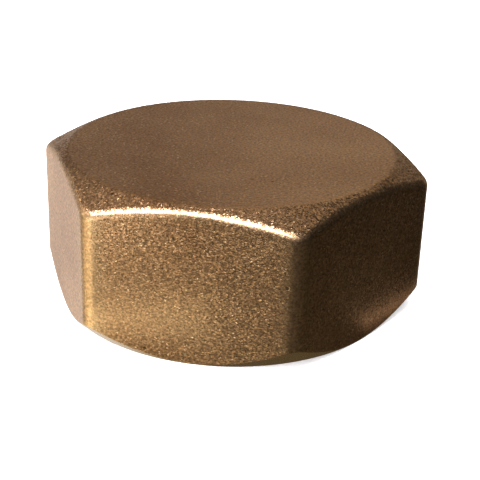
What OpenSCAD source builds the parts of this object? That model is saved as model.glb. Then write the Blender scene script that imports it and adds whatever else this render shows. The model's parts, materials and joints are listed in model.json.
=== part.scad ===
// Hexagonal screw cap that closes the end of a one-inch pipe, with its flat sealing washer.
// Millimetres. The mouth face stands on z = 0, the thread's axis is Z, and the closed end is up.
// Two flats of the hexagon face -Y and +Y, so two of its upright edges lie on the X axis.

/* [Hexagon] */
// Spanner size, across two flats
across_flats = 37; // [37:0.1:42]
// Height from the mouth face to the closed end
height = 16.5; // [16:0.1:24]
// Radius of the six upright edges
edge_radius = 2; // [0.5:0.1:3]
// Diameter of the flat disc on the closed end
end_disc_d = 35; // [33:0.1:36]
// Slope of the cone around the closed end, in degrees from flat
end_cone_angle = 25; // [20:1:40]
// Diameter of the flat mouth face, a little inside the flats
mouth_face_d = 36.8; // [35.5:0.1:36.9]
// Slope of the cone around the mouth, in degrees from flat
mouth_cone_angle = 45; // [30:1:50]
// Radius that blends the flat disc into the cone around it
end_blend_radius = 1.2; // [0.2:0.1:2]

/* [Thread] */
// Outer (root) diameter of the internal thread, G 1
thread_root_d = 33.249; // [33.2:0.001:33.4]
// Inner (crest) diameter of the internal thread, G 1
thread_crest_d = 30.291; // [30.25:0.001:30.5]
// Distance from one turn to the next, 11 turns to the inch
pitch = 2.309; // [2.3:0.001:2.32]
// Whole turns of full thread
turns = 4; // [3:1:4]
// Radius of the rounded root
root_radius = 0.317; // [0.2:0.001:0.35]
// Mouth diameter of the countersink that leads into the thread
countersink_d = 33.6; // [33.4:0.1:34.5]

/* [Closed end, inside] */
// Thickness of the wall that closes the cap
end_wall = 3; // [2.5:0.1:3.5]
// Diameter of the groove where the thread runs out
relief_d = 33.9; // [33.6:0.1:34.4]
// Diameter of the shallow pocket that centres the washer
pocket_d = 30.7; // [30.6:0.1:31]
// Depth of that pocket
pocket_depth = 1; // [0.5:0.1:1.5]

/* [Sealing washer] */
// Outer diameter, small enough to pass through the thread
washer_d = 30.1; // [29:0.01:30.2]
// Diameter of the hole
washer_hole_d = 21; // [18:0.5:24]
// Thickness
washer_thickness = 2; // [1.5:0.1:3]

/* [Hidden] */
$fn = 96;

// Room that a cutting shape runs past the surface it cuts
over = 1;
// Half of the hexagon's width across flats
apothem = across_flats / 2;
// Distance from the axis to an upright edge's outermost line
edge_reach = (apothem - edge_radius) / cos(30) + edge_radius;
// Length of a flat between its two rounded edges
flat_length = 2 * (apothem - edge_radius) * tan(30);

// Flank angle of the 55 degree pipe thread, measured from a plane across the axis
flank_angle = 27.5;
crest_r = thread_crest_d / 2;
root_r = thread_root_d / 2;
// Where a flank meets the rounded root
flank_r = root_r - root_radius * (1 - sin(flank_angle));
flank_half = root_radius * cos(flank_angle);
// Points along an arc, from one angle to another
arc_steps = 6;
function arc(centre, radius, from, to) = [
    for (step = [0 : arc_steps])
        let (angle = from + (to - from) * step / arc_steps)
            centre + radius * [cos(angle), sin(angle)]
];
// Half of a groove's opening at a given distance from the axis
function groove_half(r) = flank_half + (flank_r - r) * tan(flank_angle);

// Heights up the inside, from the mouth
countersink_angle = 60;
countersink_depth = (countersink_d / 2 - crest_r) / tan(countersink_angle);
seat_z = height - end_wall;
pocket_z = seat_z - pocket_depth;
// A land as wide as the thread's own crest stays between the countersink and the first groove
land = pitch - 2 * groove_half(crest_r);
first_groove_z = countersink_depth + 1.5 * land + groove_half(crest_r);
thread_end_z = first_groove_z + (turns - 1) * pitch + groove_half(crest_r) + land / 2;

// A hexagon with round corners: three slabs from flat to flat, and a circle in each corner
module hexagon_outline() {
    circle(r = (apothem - edge_radius) / cos(30), $fn = 6);
    for (turn = [0 : 60 : 120])
        rotate(turn)
            square([flat_length, across_flats], center = true);
    for (turn = [0 : 60 : 300])
        rotate(turn)
            translate([edge_reach - edge_radius, 0])
                circle(r = edge_radius);
}

// Everything that a lathe leaves: the flat disc, its blend, and the cones at both ends
module turned_envelope() {
    // The blend is an arc that is tangent to the disc and to the cone, centred below the disc's rim
    blend_x = end_disc_d / 2 - end_blend_radius * tan(end_cone_angle / 2);
    blend = arc([blend_x, height - end_blend_radius], end_blend_radius, 90 - end_cone_angle, 90);
    reach = edge_reach + over;
    cone_drop = (reach - blend[0].x) * tan(end_cone_angle);
    mouth_r = mouth_face_d / 2;
    mouth_rise = (reach - mouth_r) * tan(mouth_cone_angle);
    rotate_extrude()
        polygon(concat(
            [[0, 0], [mouth_r, 0], [reach, mouth_rise], [reach, blend[0].y - cone_drop]],
            blend,
            [[0, height]]
        ));
}

// The bored space: countersink, thread bore, run-out groove, washer pocket and flat seat
module bore() {
    rotate_extrude()
        polygon([
            [0, -over],
            [countersink_d / 2, -over],
            [countersink_d / 2, 0],
            [crest_r, countersink_depth],
            [crest_r, thread_end_z],
            [relief_d / 2, thread_end_z],
            [relief_d / 2, pocket_z],
            [pocket_d / 2, pocket_z],
            [pocket_d / 2, seat_z],
            [0, seat_z],
        ]);
}

// One turn of the thread, as a closed ring groove of the real section
module thread_groove() {
    inner_r = crest_r - over;
    root_turn = 90 - flank_angle;
    rotate_extrude()
        polygon(concat(
            [[inner_r, -groove_half(inner_r)]],
            arc([root_r - root_radius, 0], root_radius, -root_turn, root_turn),
            [[inner_r, groove_half(inner_r)]]
        ));
}

// The forging, turned at the mouth, bored and threaded
module cap_body() {
    color("darkgoldenrod")
        difference() {
            intersection() {
                linear_extrude(height)
                    hexagon_outline();
                turned_envelope();
            }
            bore();
            for (turn = [0 : turns - 1])
                translate([0, 0, first_groove_z + turn * pitch])
                    thread_groove();
        }
}

// A flat ring that lies against the seat, its lower half standing out of the pocket
module sealing_washer() {
    color("dimgray")
        translate([0, 0, seat_z - washer_thickness])
            difference() {
                cylinder(d = washer_d, h = washer_thickness);
                translate([0, 0, -over])
                    cylinder(d = washer_hole_d, h = washer_thickness + 2 * over);
            }
}

cap_body();
sealing_washer();
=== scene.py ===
"""Looks of a hexagonal brass pipe cap and its sealing washer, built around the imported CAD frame.

Everything is in metres in the CAD frame: the mouth face stands on z = 0, the thread's axis is Z, and two
flats of the hexagon face -Y and +Y.
"""

import json
import math
from math import cos, pi, radians, sin, tan

import bmesh
import bpy
import numpy as np
from mathutils import Matrix, Vector


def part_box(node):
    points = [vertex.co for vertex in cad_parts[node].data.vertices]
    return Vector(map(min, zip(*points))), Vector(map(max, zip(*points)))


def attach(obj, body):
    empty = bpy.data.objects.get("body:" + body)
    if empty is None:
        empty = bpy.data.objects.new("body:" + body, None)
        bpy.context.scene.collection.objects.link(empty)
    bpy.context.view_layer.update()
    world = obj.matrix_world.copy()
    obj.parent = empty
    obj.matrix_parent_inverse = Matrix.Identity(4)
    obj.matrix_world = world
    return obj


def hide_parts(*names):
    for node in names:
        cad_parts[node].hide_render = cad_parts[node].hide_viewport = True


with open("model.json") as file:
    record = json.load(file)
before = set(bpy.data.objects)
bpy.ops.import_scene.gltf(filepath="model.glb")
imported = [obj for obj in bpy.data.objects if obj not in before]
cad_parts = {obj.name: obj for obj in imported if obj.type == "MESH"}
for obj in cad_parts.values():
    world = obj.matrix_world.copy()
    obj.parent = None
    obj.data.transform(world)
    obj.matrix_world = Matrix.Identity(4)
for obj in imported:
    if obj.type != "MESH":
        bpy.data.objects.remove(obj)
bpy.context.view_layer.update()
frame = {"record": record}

MM = 0.001

# ---------------------------------------------------------------- sizes, from the frame
mounts = {m["name"]: m for m in frame["record"]["mounts"]}
cap_low, cap_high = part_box("cap_body")
washer_low, washer_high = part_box("sealing_washer")

HEIGHT = cap_high.z
APOTHEM = cap_high.y
EDGE_REACH = min(cap_high.x, -cap_low.x)
# The upright edges' radius follows from the two widths of the hexagon
EDGE_R = (APOTHEM / cos(pi / 6) - EDGE_REACH) / (1 / cos(pi / 6) - 1)

END_DISC_R = 17.5 * MM
END_CONE = radians(25)
END_BLEND_R = 1.2 * MM
FORGED_EDGE_R = 1.1 * MM
MOUTH_FACE_R = 18.4 * MM
MOUTH_CONE = radians(45)
TURNED_EDGE_R = 0.1 * MM

CREST_R = mounts["pipe_thread"]["dims"]["r_mm"] * MM
ROOT_R = 16.6245 * MM
PITCH = 2.309 * MM
FLANK = radians(27.5)
ROOT_ROUND = 0.317 * MM
COUNTERSINK_R = 16.8 * MM
COUNTERSINK = radians(60)
SEAT_Z = washer_high.z
POCKET_Z = SEAT_Z - 1.0 * MM
POCKET_R = 15.35 * MM
RELIEF_R = 16.95 * MM
THREAD_END_Z = 10.576 * MM

WASHER_HOLE_R = 10.5 * MM

# Points closer than this are one point, and faces smaller than this have no area
MERGE_DISTANCE = 2e-7
NO_AREA = 1e-8


# ---------------------------------------------------------------- mesh building
def spaced(start, end, count, support=0.03):
    """Shares of a straight run, with one extra point close to each end so that smooth shading stays flat."""
    inner = np.linspace(support, 1 - support, count)
    return start + (end - start) * np.concatenate([[0.0], inner, [1.0]])


def rounded_path(corners, radii, arc_steps, run_steps):
    """A path through 2D corners, with an arc at each inner corner and points along each straight run."""
    most_of_run = 0.48
    corners = [np.array(c, float) for c in corners]
    arcs = []
    for i in range(1, len(corners) - 1):
        back = corners[i - 1] - corners[i]
        on = corners[i + 1] - corners[i]
        back_len, on_len = np.linalg.norm(back), np.linalg.norm(on)
        back, on = back / back_len, on / on_len
        half = math.acos(np.clip(back @ on, -1, 1)) / 2
        reach = min(radii[i - 1] / tan(half), most_of_run * back_len, most_of_run * on_len)
        radius = reach * tan(half)
        middle = (back + on) / np.linalg.norm(back + on)
        centre = corners[i] + middle * radius / sin(half)
        first = corners[i] + back * reach - centre
        last = corners[i] + on * reach - centre
        turn = math.atan2(first[0] * last[1] - first[1] * last[0], first @ last)
        angles = math.atan2(first[1], first[0]) + np.linspace(0, turn, arc_steps[i - 1] + 1)
        arcs.append(centre + radius * np.stack([np.cos(angles), np.sin(angles)], 1))
    points = []
    start = corners[0]
    for i, arc in enumerate(arcs + [corners[-1][None]]):
        share = spaced(0, 1, run_steps[i])
        run = start + (arc[0] - start) * share[:, None]
        points.append(run[:-1])
        points.append(arc[:-1] if i < len(arcs) else arc)
        start = arc[-1]
    return np.concatenate(points)


def outline_radius(angle):
    """Distance from the axis to the hexagon's rounded outline in the direction of an angle."""
    from_corner = (angle + pi / 6) % (pi / 3) - pi / 6
    centre = (APOTHEM - EDGE_R) / cos(pi / 6)
    tangent = math.atan2(EDGE_R * sin(pi / 6), centre + EDGE_R * cos(pi / 6))
    if abs(from_corner) < tangent:
        return centre * cos(from_corner) + math.sqrt(EDGE_R**2 - (centre * sin(from_corner)) ** 2)
    return APOTHEM / cos(pi / 6 - abs(from_corner))


def column_angles(edge_steps=10, flat_steps=24):
    """Angles of the mesh's columns: close together round each upright edge, wider along each flat."""
    centre = (APOTHEM - EDGE_R) / cos(pi / 6)
    tangent = math.atan2(EDGE_R * sin(pi / 6), centre + EDGE_R * cos(pi / 6))
    sector = np.concatenate([
        np.linspace(-tangent, tangent, edge_steps + 1)[:-1],
        spaced(tangent, pi / 3 - tangent, flat_steps, support=0.02)[:-1],
    ])
    around = np.concatenate([sector + k * pi / 3 for k in range(6)])
    return np.append(around, around[0] + 2 * pi)


def thread_radius(offset):
    """Distance from the axis to the thread's surface, at an offset along the axis from a groove's middle."""
    offset = abs((offset + PITCH / 2) % PITCH - PITCH / 2)
    flank_r = ROOT_R - ROOT_ROUND * (1 - sin(FLANK))
    flank_half = ROOT_ROUND * cos(FLANK)
    if offset < flank_half:
        return ROOT_R - ROOT_ROUND + math.sqrt(ROOT_ROUND**2 - offset**2)
    return max(CREST_R, flank_r - (offset - flank_half) / tan(FLANK))


def thread_rows():
    """Offsets of the mesh's rows across one pitch, from one land's middle to the next."""
    support = 0.06 * MM
    flank_half = ROOT_ROUND * cos(FLANK)
    flank_r = ROOT_R - ROOT_ROUND * (1 - sin(FLANK))
    opening_half = flank_half + (flank_r - CREST_R) * tan(FLANK)
    side = np.concatenate([
        np.linspace(0, flank_half, 5)[:-1],
        np.linspace(flank_half, opening_half, 5)[:-1],
        [opening_half, opening_half + support],
    ])
    return np.concatenate([[-PITCH / 2], -side[:0:-1], side])


def bore_column(angle):
    """Points of the threaded bore along one column, from the mouth inwards; the rows follow the helix."""
    turns_needed = math.ceil(THREAD_END_Z / PITCH) + 2
    climb = PITCH * angle / (2 * pi)
    middles = climb + PITCH * (np.arange(turns_needed) - 1.5)
    heights = (middles[:, None] + thread_rows()[None, :]).ravel()
    points = []
    for z in np.clip(heights, 0, THREAD_END_Z):
        countersink = COUNTERSINK_R - z * tan(COUNTERSINK)
        points.append((max(thread_radius(z - climb), countersink, CREST_R), z))
    return np.array(points)


def outside_column(side):
    """Points down the outside, from the closed end's middle, for a side at some distance from the axis."""
    points = rounded_path(
        [
            (0, HEIGHT),
            (END_DISC_R, HEIGHT),
            (side, HEIGHT - (side - END_DISC_R) * tan(END_CONE)),
            (side, (side - MOUTH_FACE_R) * tan(MOUTH_CONE)),
            (MOUTH_FACE_R, 0),
            (COUNTERSINK_R, 0),
        ],
        radii=[END_BLEND_R, FORGED_EDGE_R, TURNED_EDGE_R, TURNED_EDGE_R],
        arc_steps=[6, 10, 4, 4],
        run_steps=[18, 6, 18, 4, 4],
    )
    # Rounding carries no point past the cap's own height
    points[:, 1] = np.clip(points[:, 1], 0, HEIGHT)
    return points


def inside_column():
    """Points from the thread's end, through the run-out groove and the washer's pocket, to the seat."""
    return rounded_path(
        [
            (CREST_R, THREAD_END_Z),
            (RELIEF_R, THREAD_END_Z),
            (RELIEF_R, POCKET_Z),
            (POCKET_R, POCKET_Z),
            (POCKET_R, SEAT_Z),
            (0, SEAT_Z),
        ],
        radii=[0.2 * MM, 0.2 * MM, 0.05 * MM, 0.1 * MM],
        arc_steps=[4, 4, 3, 4],
        run_steps=[4, 6, 4, 3, 12],
    )


def cap_column(angle):
    """All of the cap's points in one direction: down the outside, up the bore and across the seat."""
    outside = outside_column(outline_radius(angle))
    bore = bore_column(angle)
    inside = inside_column()
    # The groove starts at the radius that the helix has there
    inside[0, 0] = bore[-1, 0]
    return np.concatenate([outside, bore, inside])


def surface_from_columns(name, columns, angles):
    """A closed mesh from points (distance from the axis, height) in columns round the axis."""
    rows = len(columns[0])
    mesh = bpy.data.meshes.new(name)
    grid = np.array(columns)
    turn = np.array(angles)[:, None]
    points = np.stack([grid[:, :, 0] * np.cos(turn), grid[:, :, 0] * np.sin(turn), grid[:, :, 1]], 2)
    faces = []
    for c in range(len(columns) - 1):
        here, there = c * rows, (c + 1) * rows
        for r in range(rows - 1):
            faces.append((here + r, here + r + 1, there + r + 1, there + r))
    mesh.from_pydata(points.reshape(-1, 3).tolist(), [], faces)
    return mesh


def finish_mesh(mesh):
    """Joins the seam and the poles, drops what has no area and turns the faces outwards."""
    work = bmesh.new()
    work.from_mesh(mesh)
    bmesh.ops.remove_doubles(work, verts=work.verts, dist=MERGE_DISTANCE)
    bmesh.ops.dissolve_degenerate(work, edges=work.edges, dist=NO_AREA)
    bmesh.ops.recalc_face_normals(work, faces=work.faces)
    if work.calc_volume(signed=True) < 0:
        bmesh.ops.reverse_faces(work, faces=work.faces)
    for face in work.faces:
        face.smooth = True
    work.to_mesh(mesh)
    work.free()


def shown(name, mesh, body, *materials):
    """An object of the visual model that moves with a body."""
    piece = bpy.data.objects.new(name, mesh)
    bpy.context.scene.collection.objects.link(piece)
    for material in materials:
        mesh.materials.append(material)
    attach(piece, body)
    return piece


# ---------------------------------------------------------------- materials
def new_material(name):
    material = bpy.data.materials.new(name)
    material.use_nodes = True
    tree = material.node_tree
    shader = next(n for n in tree.nodes if n.type == "BSDF_PRINCIPLED")
    return material, tree, shader


def add(tree, kind, inputs=(), **settings):
    """A node with its settings, and its inputs given as values or as other nodes' outputs."""
    node = tree.nodes.new(kind)
    for key, value in settings.items():
        setattr(node, key, value)
    for key, value in dict(inputs).items():
        if isinstance(value, bpy.types.NodeSocket):
            tree.links.new(value, node.inputs[key])
        else:
            node.inputs[key].default_value = value
    return node


def attribute(tree, name):
    return add(tree, "ShaderNodeAttribute", attribute_name=name).outputs["Fac"]


def noise(tree, place, size, detail):
    """Noise with features of about a size in metres."""
    inputs = {"Vector": place, "Scale": 1 / size, "Detail": detail}
    return add(tree, "ShaderNodeTexNoise", inputs).outputs["Fac"]


def ranged(tree, value, start=(0.0, 1.0), end=(0.0, 1.0)):
    """A value carried from one range to another, and held there."""
    ranges = {"From Min": start[0], "From Max": start[1], "To Min": end[0], "To Max": end[1]}
    return add(tree, "ShaderNodeMapRange", {"Value": value, **ranges}).outputs["Result"]


def number(tree, operation, first, second):
    return add(tree, "ShaderNodeMath", {0: first, 1: second}, operation=operation).outputs[0]


def vector(tree, operation, first, second):
    return add(tree, "ShaderNodeVectorMath", {0: first, 1: second}, operation=operation).outputs[0]


def scaled(tree, value, scale):
    return add(tree, "ShaderNodeVectorMath", {0: value, "Scale": scale}, operation="SCALE").outputs[0]


def mixed(tree, factor, first, second):
    """A colour between two colours."""
    inputs = {"Factor": factor, "A": first, "B": second}
    return add(tree, "ShaderNodeMix", inputs, data_type="RGBA").outputs["Result"]


def blasted_brass():
    """Grit-blasted forging: a pitted skin whose small facets tilt every way and catch the light singly."""
    grain_size = 0.15 * MM
    grain_flatness = 1.6
    skin_size = 0.3 * MM
    speck_size = 0.25 * MM
    rub_size = 1.5 * MM
    nick_spacing = 4 * MM
    patch_size = 20 * MM
    # The darker and lighter brass of the wide patches; on the closed end they are also painted shade on the
    # left and painted light on the right
    dark_brass_and_painted_shade = (0.54, 0.31, 0.15, 1)
    light_brass_and_painted_light = (0.82, 0.53, 0.28, 1)
    rubbed_brass = (0.74, 0.5, 0.26, 1)
    clean_brass = (1.0, 0.68, 0.38, 1)

    material, tree, shader = new_material("blasted_brass")
    place = add(tree, "ShaderNodeTexCoord").outputs["Object"]
    rubs = ranged(tree, noise(tree, place, rub_size, 3.0), (0.3, 0.6), (0.55, 1.0))
    wear = number(tree, "MULTIPLY", attribute(tree, "wear"), rubs)

    # Each grain is a flat facet with a tilt of its own, and a few are much steeper than the rest
    flattened = vector(tree, "MULTIPLY", place, (1, 1, grain_flatness))
    cells = {"Vector": flattened, "Scale": 1 / grain_size}
    grains = add(tree, "ShaderNodeTexVoronoi", cells).outputs["Color"]
    lustre = add(tree, "ShaderNodeSeparateColor", {"Color": grains}).outputs["Green"]
    steep = ranged(tree, number(tree, "POWER", lustre, 4.0), end=(0.8, 1.5))
    steep = number(tree, "MULTIPLY", steep, attribute(tree, "pitting"))
    tilt = scaled(tree, vector(tree, "SUBTRACT", grains, (0.5, 0.5, 0.5)), steep)
    skin = noise(tree, place, skin_size, 3.0)
    rough_skin = {"Height": skin, "Distance": 0.02 * MM, "Strength": 0.6}
    bump = add(tree, "ShaderNodeBump", rough_skin).outputs[0]
    # A few nicks, some 0.4 mm wide, where the surface meets the middle of a large cell
    far = add(tree, "ShaderNodeTexVoronoi", {"Vector": place, "Scale": 1 / nick_spacing}).outputs["Distance"]
    nick = ranged(tree, far, (0.03, 0.06))
    bump = add(tree, "ShaderNodeBump", {"Height": nick, "Distance": 0.03 * MM, "Normal": bump}).outputs[0]
    normal = vector(tree, "ADD", bump, tilt)
    normal = add(tree, "ShaderNodeVectorMath", {0: normal}, operation="NORMALIZE").outputs[0]
    tree.links.new(normal, shader.inputs["Normal"])

    # Wide patches of tone, and a fine speckle. The patches are shifted so that the closed end is darker on
    # the left and lighter on the right: there they are painted shade and painted light, elsewhere random
    # tone
    shifted_for_painted_shade = vector(tree, "ADD", place, (59 * MM, 66 * MM, 21 * MM))
    patches = ranged(tree, noise(tree, shifted_for_painted_shade, patch_size, 3.0), (0.33, 0.67))
    tone = mixed(tree, patches, dark_brass_and_painted_shade, light_brass_and_painted_light)
    tone = mixed(tree, wear, tone, rubbed_brass)
    # Here and there a grain is clean, bright metal
    tone = mixed(tree, ranged(tree, lustre, (0.96, 0.98)), tone, clean_brass)
    speck = ranged(tree, noise(tree, place, speck_size, 2.0), (0.3, 0.7), (0.62, 1.3))
    # The nicks are darkened to about a third: painted shade in the nicks, on top of the random speckle
    speck_and_nick_shade = number(tree, "MULTIPLY", speck, ranged(tree, nick, end=(0.35, 1.0)))
    tree.links.new(scaled(tree, tone, speck_and_nick_shade), shader.inputs["Base Color"])

    # Some grains are polished by handling, others stay dull; a rubbed edge shines more evenly
    dull = ranged(tree, lustre, end=(0.3, 0.44))
    rough = add(tree, "ShaderNodeMix", {"Factor": wear, "A": dull, "B": 0.36}).outputs["Result"]
    tree.links.new(rough, shader.inputs["Roughness"])
    shader.inputs["Metallic"].default_value = 1.0
    return material


def turned_brass():
    """Cut metal: fine tool rings round the thread's axis, bright, with a little tarnish."""
    feed_size = 0.12 * MM
    stain_size = 3 * MM
    tarnished = (0.72, 0.5, 0.24, 1)
    bright = (0.88, 0.68, 0.38, 1)

    material, tree, shader = new_material("turned_brass")
    place = add(tree, "ShaderNodeTexCoord").outputs["Object"]
    parts = add(tree, "ShaderNodeSeparateXYZ", {0: place}).outputs
    flat = add(tree, "ShaderNodeCombineXYZ", {0: parts["X"], 1: parts["Y"]}).outputs[0]
    out = add(tree, "ShaderNodeVectorMath", {0: flat}, operation="LENGTH").outputs["Value"]
    feed = {"W": number(tree, "ADD", out, parts["Z"]), "Scale": 1 / feed_size, "Detail": 3.0}
    rings = add(tree, "ShaderNodeTexNoise", feed, noise_dimensions="1D").outputs["Fac"]
    bump = add(tree, "ShaderNodeBump", {"Height": rings, "Distance": 0.012 * MM, "Strength": 0.5})
    tree.links.new(bump.outputs[0], shader.inputs["Normal"])
    tone = mixed(tree, noise(tree, place, stain_size, 4.0), tarnished, bright)
    tree.links.new(tone, shader.inputs["Base Color"])
    tree.links.new(ranged(tree, rings, (0.3, 0.7), (0.2, 0.34)), shader.inputs["Roughness"])
    shader.inputs["Metallic"].default_value = 1.0
    return material


def black_rubber():
    """Matt sheet rubber with the mark of the cloth it was pressed on, and a faint grey bloom."""
    threads_per_metre = 0.16 / MM
    bloom_size = 2.5 * MM
    plain = (0.018, 0.018, 0.02, 1)
    bloomed = (0.05, 0.05, 0.053, 1)

    material, tree, shader = new_material("black_rubber")
    place = add(tree, "ShaderNodeTexCoord").outputs["Object"]
    waves = {"Vector": place, "Scale": threads_per_metre, "Distortion": 0.6}
    across = add(tree, "ShaderNodeTexWave", waves, bands_direction="X").outputs["Fac"]
    along = add(tree, "ShaderNodeTexWave", waves, bands_direction="Y").outputs["Fac"]
    cloth = number(tree, "MAXIMUM", across, along)
    bump = add(tree, "ShaderNodeBump", {"Height": cloth, "Distance": 0.03 * MM, "Strength": 0.6})
    tree.links.new(bump.outputs[0], shader.inputs["Normal"])
    bloom = noise(tree, place, bloom_size, 5.0)
    tree.links.new(mixed(tree, bloom, plain, bloomed), shader.inputs["Base Color"])
    tree.links.new(ranged(tree, bloom, end=(0.55, 0.85)), shader.inputs["Roughness"])
    return material


# ---------------------------------------------------------------- pieces
# How steeply the grains tilt: on the cone, on the end disc, and on the flats at the shoulder and lower down
CONE_PITTING = 0.62
DISC_PITTING = 0.36
SHOULDER_PITTING = 0.15
FLAT_PITTING = 0.25
# How much of the tilt is gone where an edge is fully worn
WORN_AWAY = 0.6


def fading(distance, end, width):
    """1 close by, and falling to 0 at an end over a width."""
    return np.clip((end - distance) / width, 0, 1)


def below_shoulder(x, y, z):
    """How far the shoulder, where the cone meets the side, is above a place."""
    side = outline_radius(math.atan2(y, x))
    return HEIGHT - (side - END_DISC_R) * tan(END_CONE) - z


def edge_wear(x, y, z):
    """How rubbed the outside is at a place: most on the upright edges, less on the shoulder, 0 elsewhere."""
    angle = math.atan2(y, x)
    out = math.hypot(x, y)
    from_corner = abs((angle + pi / 6) % (pi / 3) - pi / 6) * out
    below = below_shoulder(x, y, z)
    from_shoulder = math.hypot(out - outline_radius(angle), below)
    along_edge = fading(from_corner, 0.9 * EDGE_R, 0.8 * MM) * np.clip(below / (0.3 * MM), 0, 1)
    along_shoulder = 0.7 * fading(from_shoulder, 0.7 * MM, 0.5 * MM)
    return max(along_edge, along_shoulder)


def pitting(x, y, z):
    """How steeply the grains tilt at a place."""
    below = below_shoulder(x, y, z)
    if math.hypot(x, y) > END_DISC_R and below < 0.1 * MM:
        depth = CONE_PITTING
    elif z > HEIGHT - 0.2 * MM:
        depth = DISC_PITTING
    else:
        lower = np.clip(below / (2.5 * MM), 0, 1)
        depth = SHOULDER_PITTING + (FLAT_PITTING - SHOULDER_PITTING) * lower
    return depth * (1 - WORN_AWAY * edge_wear(x, y, z))


def is_cut(place):
    """Whether a tool made the surface at a place, as at the mouth and everywhere inside."""
    out = math.hypot(place.x, place.y)
    mouth_z = max(out - MOUTH_FACE_R, 0) * tan(MOUTH_CONE)
    inside = place.z < SEAT_Z + 0.1 * MM and out < RELIEF_R + 0.1 * MM
    return inside or place.z < mouth_z + 0.05 * MM


def make_cap():
    angles = column_angles()
    mesh = surface_from_columns("cap", [cap_column(angle) for angle in angles], angles)
    finish_mesh(mesh)
    piece = shown("brass_cap", mesh, "cap", blasted_brass(), turned_brass())
    for face in mesh.polygons:
        face.material_index = 1 if is_cut(face.center) else 0
    for name, rule in (("wear", edge_wear), ("pitting", pitting)):
        data = mesh.attributes.new(name, "FLOAT", "POINT").data
        data.foreach_set("value", [rule(*v.co) for v in mesh.vertices])
    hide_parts("cap_body")


def make_washer():
    angles = np.linspace(0, 2 * pi, 181)
    inner, outer = WASHER_HOLE_R, washer_high.x
    middle = (inner + outer) / 2
    low, high = washer_low.z, washer_high.z
    # The edges that the punch met first are rounder
    punched, parted = 0.12 * MM, 0.06 * MM
    ring = rounded_path(
        [(middle, high), (outer, high), (outer, low), (inner, low), (inner, high), (middle, high)],
        radii=[punched, parted, parted, punched],
        arc_steps=[4, 3, 3, 4],
        run_steps=[5, 6, 10, 6, 5],
    )
    mesh = surface_from_columns("washer", [ring for _ in angles], angles)
    finish_mesh(mesh)
    piece = shown("rubber_washer", mesh, "washer", black_rubber())
    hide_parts("sealing_washer")


# ---------------------------------------------------------------- stage
def aimed(position, target):
    """The turn that points an object's -Z axis from a place to a target."""
    return (Vector(target) - Vector(position)).to_track_quat("-Z", "Y")


def make_camera():
    """A long lens from the front, 24 degrees above the horizon, a little to the right of the front flat."""
    azimuth, elevation, roll = radians(10.73), radians(23.80), radians(2.02)
    distance = 6.617 * APOTHEM
    aside, above = 0.0596 * APOTHEM, -0.1358 * APOTHEM
    back = Vector((sin(azimuth) * cos(elevation), -cos(azimuth) * cos(elevation), sin(elevation)))
    right = Vector((cos(azimuth), sin(azimuth), 0))
    up = back.cross(right)
    right_rolled = right * cos(roll) + up * sin(roll)
    up_rolled = up * cos(roll) - right * sin(roll)
    target = Vector((0, 0, HEIGHT / 2)) + right_rolled * aside + up_rolled * above
    data = bpy.data.cameras.new("camera")
    data.sensor_width = 36
    data.lens = 83.1
    data.clip_start, data.clip_end = 0.005, 10
    camera = bpy.data.objects.new("camera", data)
    camera.matrix_world = Matrix.Translation(target + back * distance) @ Matrix(
        (right_rolled, up_rolled, back)
    ).transposed().to_4x4()
    bpy.context.scene.collection.objects.link(camera)
    bpy.context.scene.camera = camera


def make_floor():
    """A pale disc that glows a little, and that the metal doesn't mirror."""
    work = bmesh.new()
    bmesh.ops.create_circle(work, cap_ends=True, radius=0.6, segments=64)
    mesh = bpy.data.meshes.new("floor")
    work.to_mesh(mesh)
    work.free()
    material, tree, shader = new_material("pale_floor")
    shader.inputs["Base Color"].default_value = (0.9, 0.9, 0.9, 1)
    shader.inputs["Roughness"].default_value = 0.9
    shader.inputs["Emission Color"].default_value = (1, 1, 1, 1)
    shader.inputs["Emission Strength"].default_value = 0.6
    floor = bpy.data.objects.new("floor", mesh)
    mesh.materials.append(material)
    bpy.context.scene.collection.objects.link(floor)
    floor.visible_glossy = False


def area_light(name, position, target, size, power, colour=(1, 1, 1)):
    """A rectangle of light, width by height, that faces a target."""
    data = bpy.data.lights.new(name, "AREA")
    data.shape = "RECTANGLE"
    data.size, data.size_y = size
    data.energy = power
    data.color = colour
    light = bpy.data.objects.new(name, data)
    light.location = position
    light.rotation_mode = "QUATERNION"
    light.rotation_quaternion = aimed(position, target)
    bpy.context.scene.collection.objects.link(light)
    return light


def direction(azimuth, elevation):
    """A unit vector; azimuth 0 is the front (-Y), 90 the right (+X), and elevation is above the horizon."""
    a, e = radians(azimuth), radians(elevation)
    return Vector((sin(a) * cos(e), -cos(a) * cos(e), sin(e)))


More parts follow.
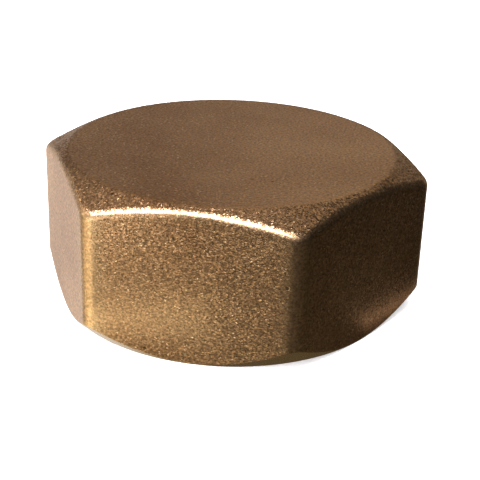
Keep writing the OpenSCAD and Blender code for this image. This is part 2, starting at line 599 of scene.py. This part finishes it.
# Patches of light that the metal mirrors. Each row has a name, the azimuth and elevation of the middle, the
# angles from there at which the light is still full and has ended, and its strength and colour
STUDIO = [
    ("under", 0, -90, 30, 75, 0.1, (1.0, 0.78, 0.48)),
    ("left_low", -60, -38, 12, 38, 1.27, (1.0, 0.86, 0.64)),
    ("left_middle", -80, 22, 14, 38, 0.95, (1.0, 0.86, 0.75)),
    ("left_high", -118, 62, 10, 30, 0.22, (1.0, 0.85, 0.7)),
    ("left_back_low", -138, -25, 12, 39, 0.9, (1.0, 0.97, 1.0)),
    ("back_low", 190, 15, 8, 25, 0.16, (1.0, 0.95, 1.0)),
    ("back_high", 184, 50, 10, 30, 0.35, (1.0, 0.79, 0.56)),
    ("right_back", 158, -8, 10, 26, 0.28, (1.0, 0.88, 0.72)),
]
AMBIENT = (0.005, 0.004, 0.002)
# Cards that only the mirroring metal sees: name, place and target, then size, power and colour
CARDS = [
    ("low_card", (-0.045, -0.075, 0.004), (-0.004, -0.018, 0.008),
     (0.05, 0.02), 0.01, (1.0, 0.97, 0.92)),
    ("near_card", (-0.008, -0.0245, 0.0008), (-0.006, -0.0185, 0.003),
     (0.018, 0.002), 0.0001, (1.0, 1.0, 0.85)),
    ("right_card", (0.0224, -0.0022, 0.0004), (0.0189, -0.0002, 0.0012),
     (0.014, 0.0012), 0.000018, (1.0, 0.82, 0.74)),
]


def make_world():
    """A dark room with soft patches of light; the camera itself sees plain white."""
    world = bpy.data.worlds.new("studio")
    world.use_nodes = True
    bpy.context.scene.world = world
    tree = world.node_tree
    towards = add(tree, "ShaderNodeTexCoord").outputs["Generated"]
    total = AMBIENT
    for name, azimuth, elevation, full, ended, strength, colour in STUDIO:
        facing = {0: towards, 1: direction(azimuth, elevation)}
        nearness = add(tree, "ShaderNodeVectorMath", facing, operation="DOT_PRODUCT").outputs["Value"]
        edges = {"Value": nearness, "From Min": cos(radians(ended)), "From Max": cos(radians(full))}
        patch = add(tree, "ShaderNodeMapRange", edges, interpolation_type="SMOOTHSTEP", label=name)
        light = scaled(tree, [strength * c for c in colour], patch.outputs["Result"])
        total = vector(tree, "ADD", total, light)
    seen = add(tree, "ShaderNodeLightPath").outputs["Is Camera Ray"]
    tree.links.new(mixed(tree, seen, total, (1, 1, 1, 1)), tree.nodes["Background"].inputs["Color"])
    bpy.context.scene.view_settings.view_transform = "Standard"


def make_lights():
    """A softbox in front, one over the floor, and small cards low down for the glow of the table."""
    area_light("front_box", direction(-17, 48) * 0.5, (0, 0, 0.01), (0.36, 0.26), 6, (0.76, 0.72, 0.78))
    for card in CARDS:
        area_light(*card).visible_diffuse = False
    area_light("floor_box", (0, 0, 0.8), (0, 0, 0), (0.9, 0.9), 9).visible_glossy = False


make_camera()
make_world()
make_floor()
make_cap()
make_washer()
make_lights()
